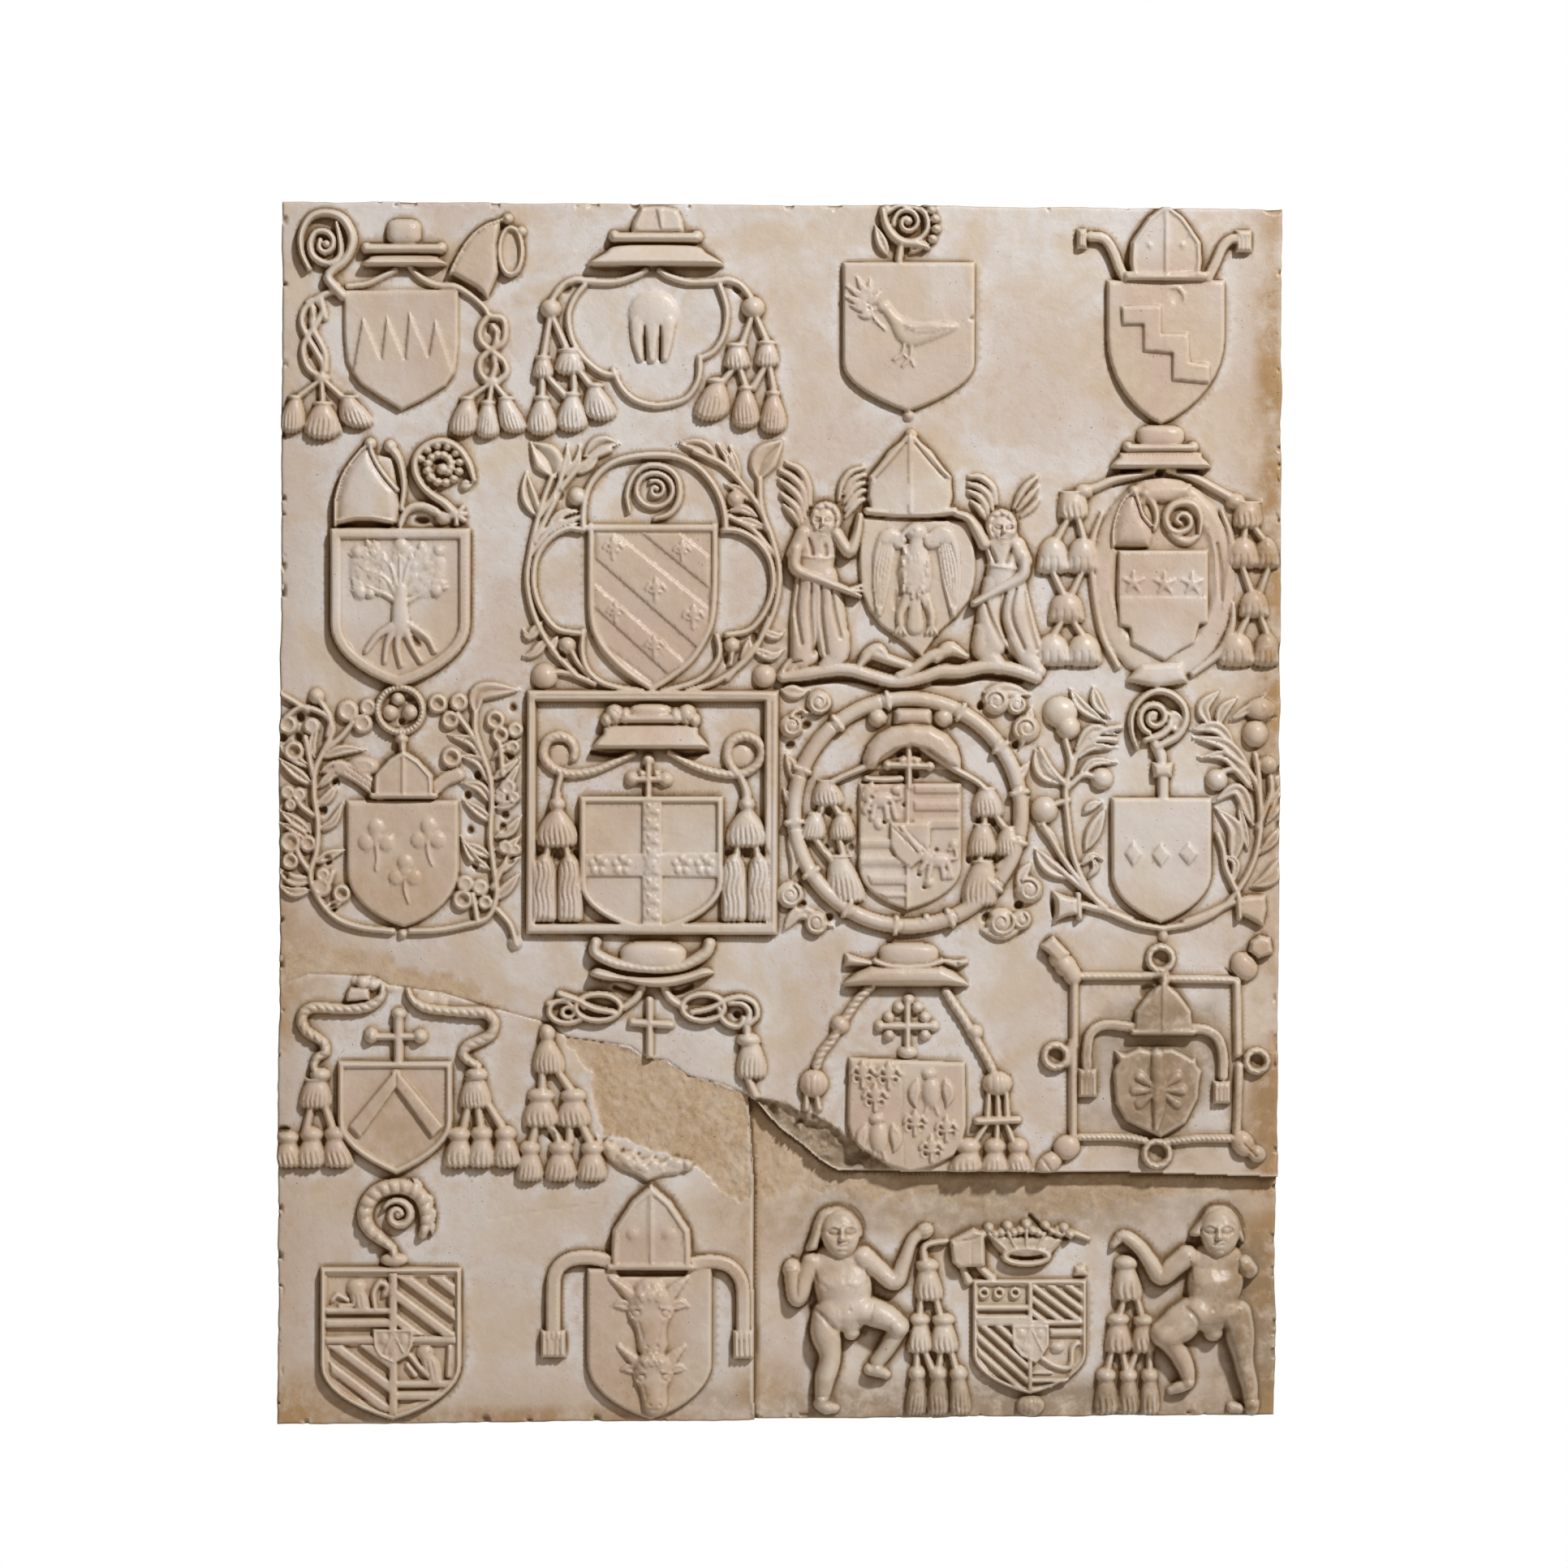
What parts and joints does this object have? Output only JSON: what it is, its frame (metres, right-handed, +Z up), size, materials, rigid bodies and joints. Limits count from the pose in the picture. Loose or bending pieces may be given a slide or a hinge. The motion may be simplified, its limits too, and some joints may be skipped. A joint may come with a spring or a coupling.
{
  "type": "heraldic wall panel",
  "caption": "Mended marble wall panel carved in relief with rows of prelates' coats of arms under hats, mitres, croziers, cords and tassels.",
  "frame": {"origin": "middle of the flat back face of the upper slab, which lies on the wall", "axes": "+X to the viewer's right, +Y into the wall, +Z up; the carved face looks along -Y"},
  "size_m": [0.8049, 0.054, 0.9795],
  "materials": {
    "marble_upper": "worn cream marble with a waxy gloss and grime in the hollows",
    "marble_left": "worn cream marble with a rough ochre spall below the crack",
    "marble_block": "worn cream marble with a rough ochre band along its top"
  },
  "bodies": {
    "root": {"upper_slab": "marble_upper", "lower_left_slab": "marble_left", "lower_right_block": "marble_block"}
  },
  "joints": []
}
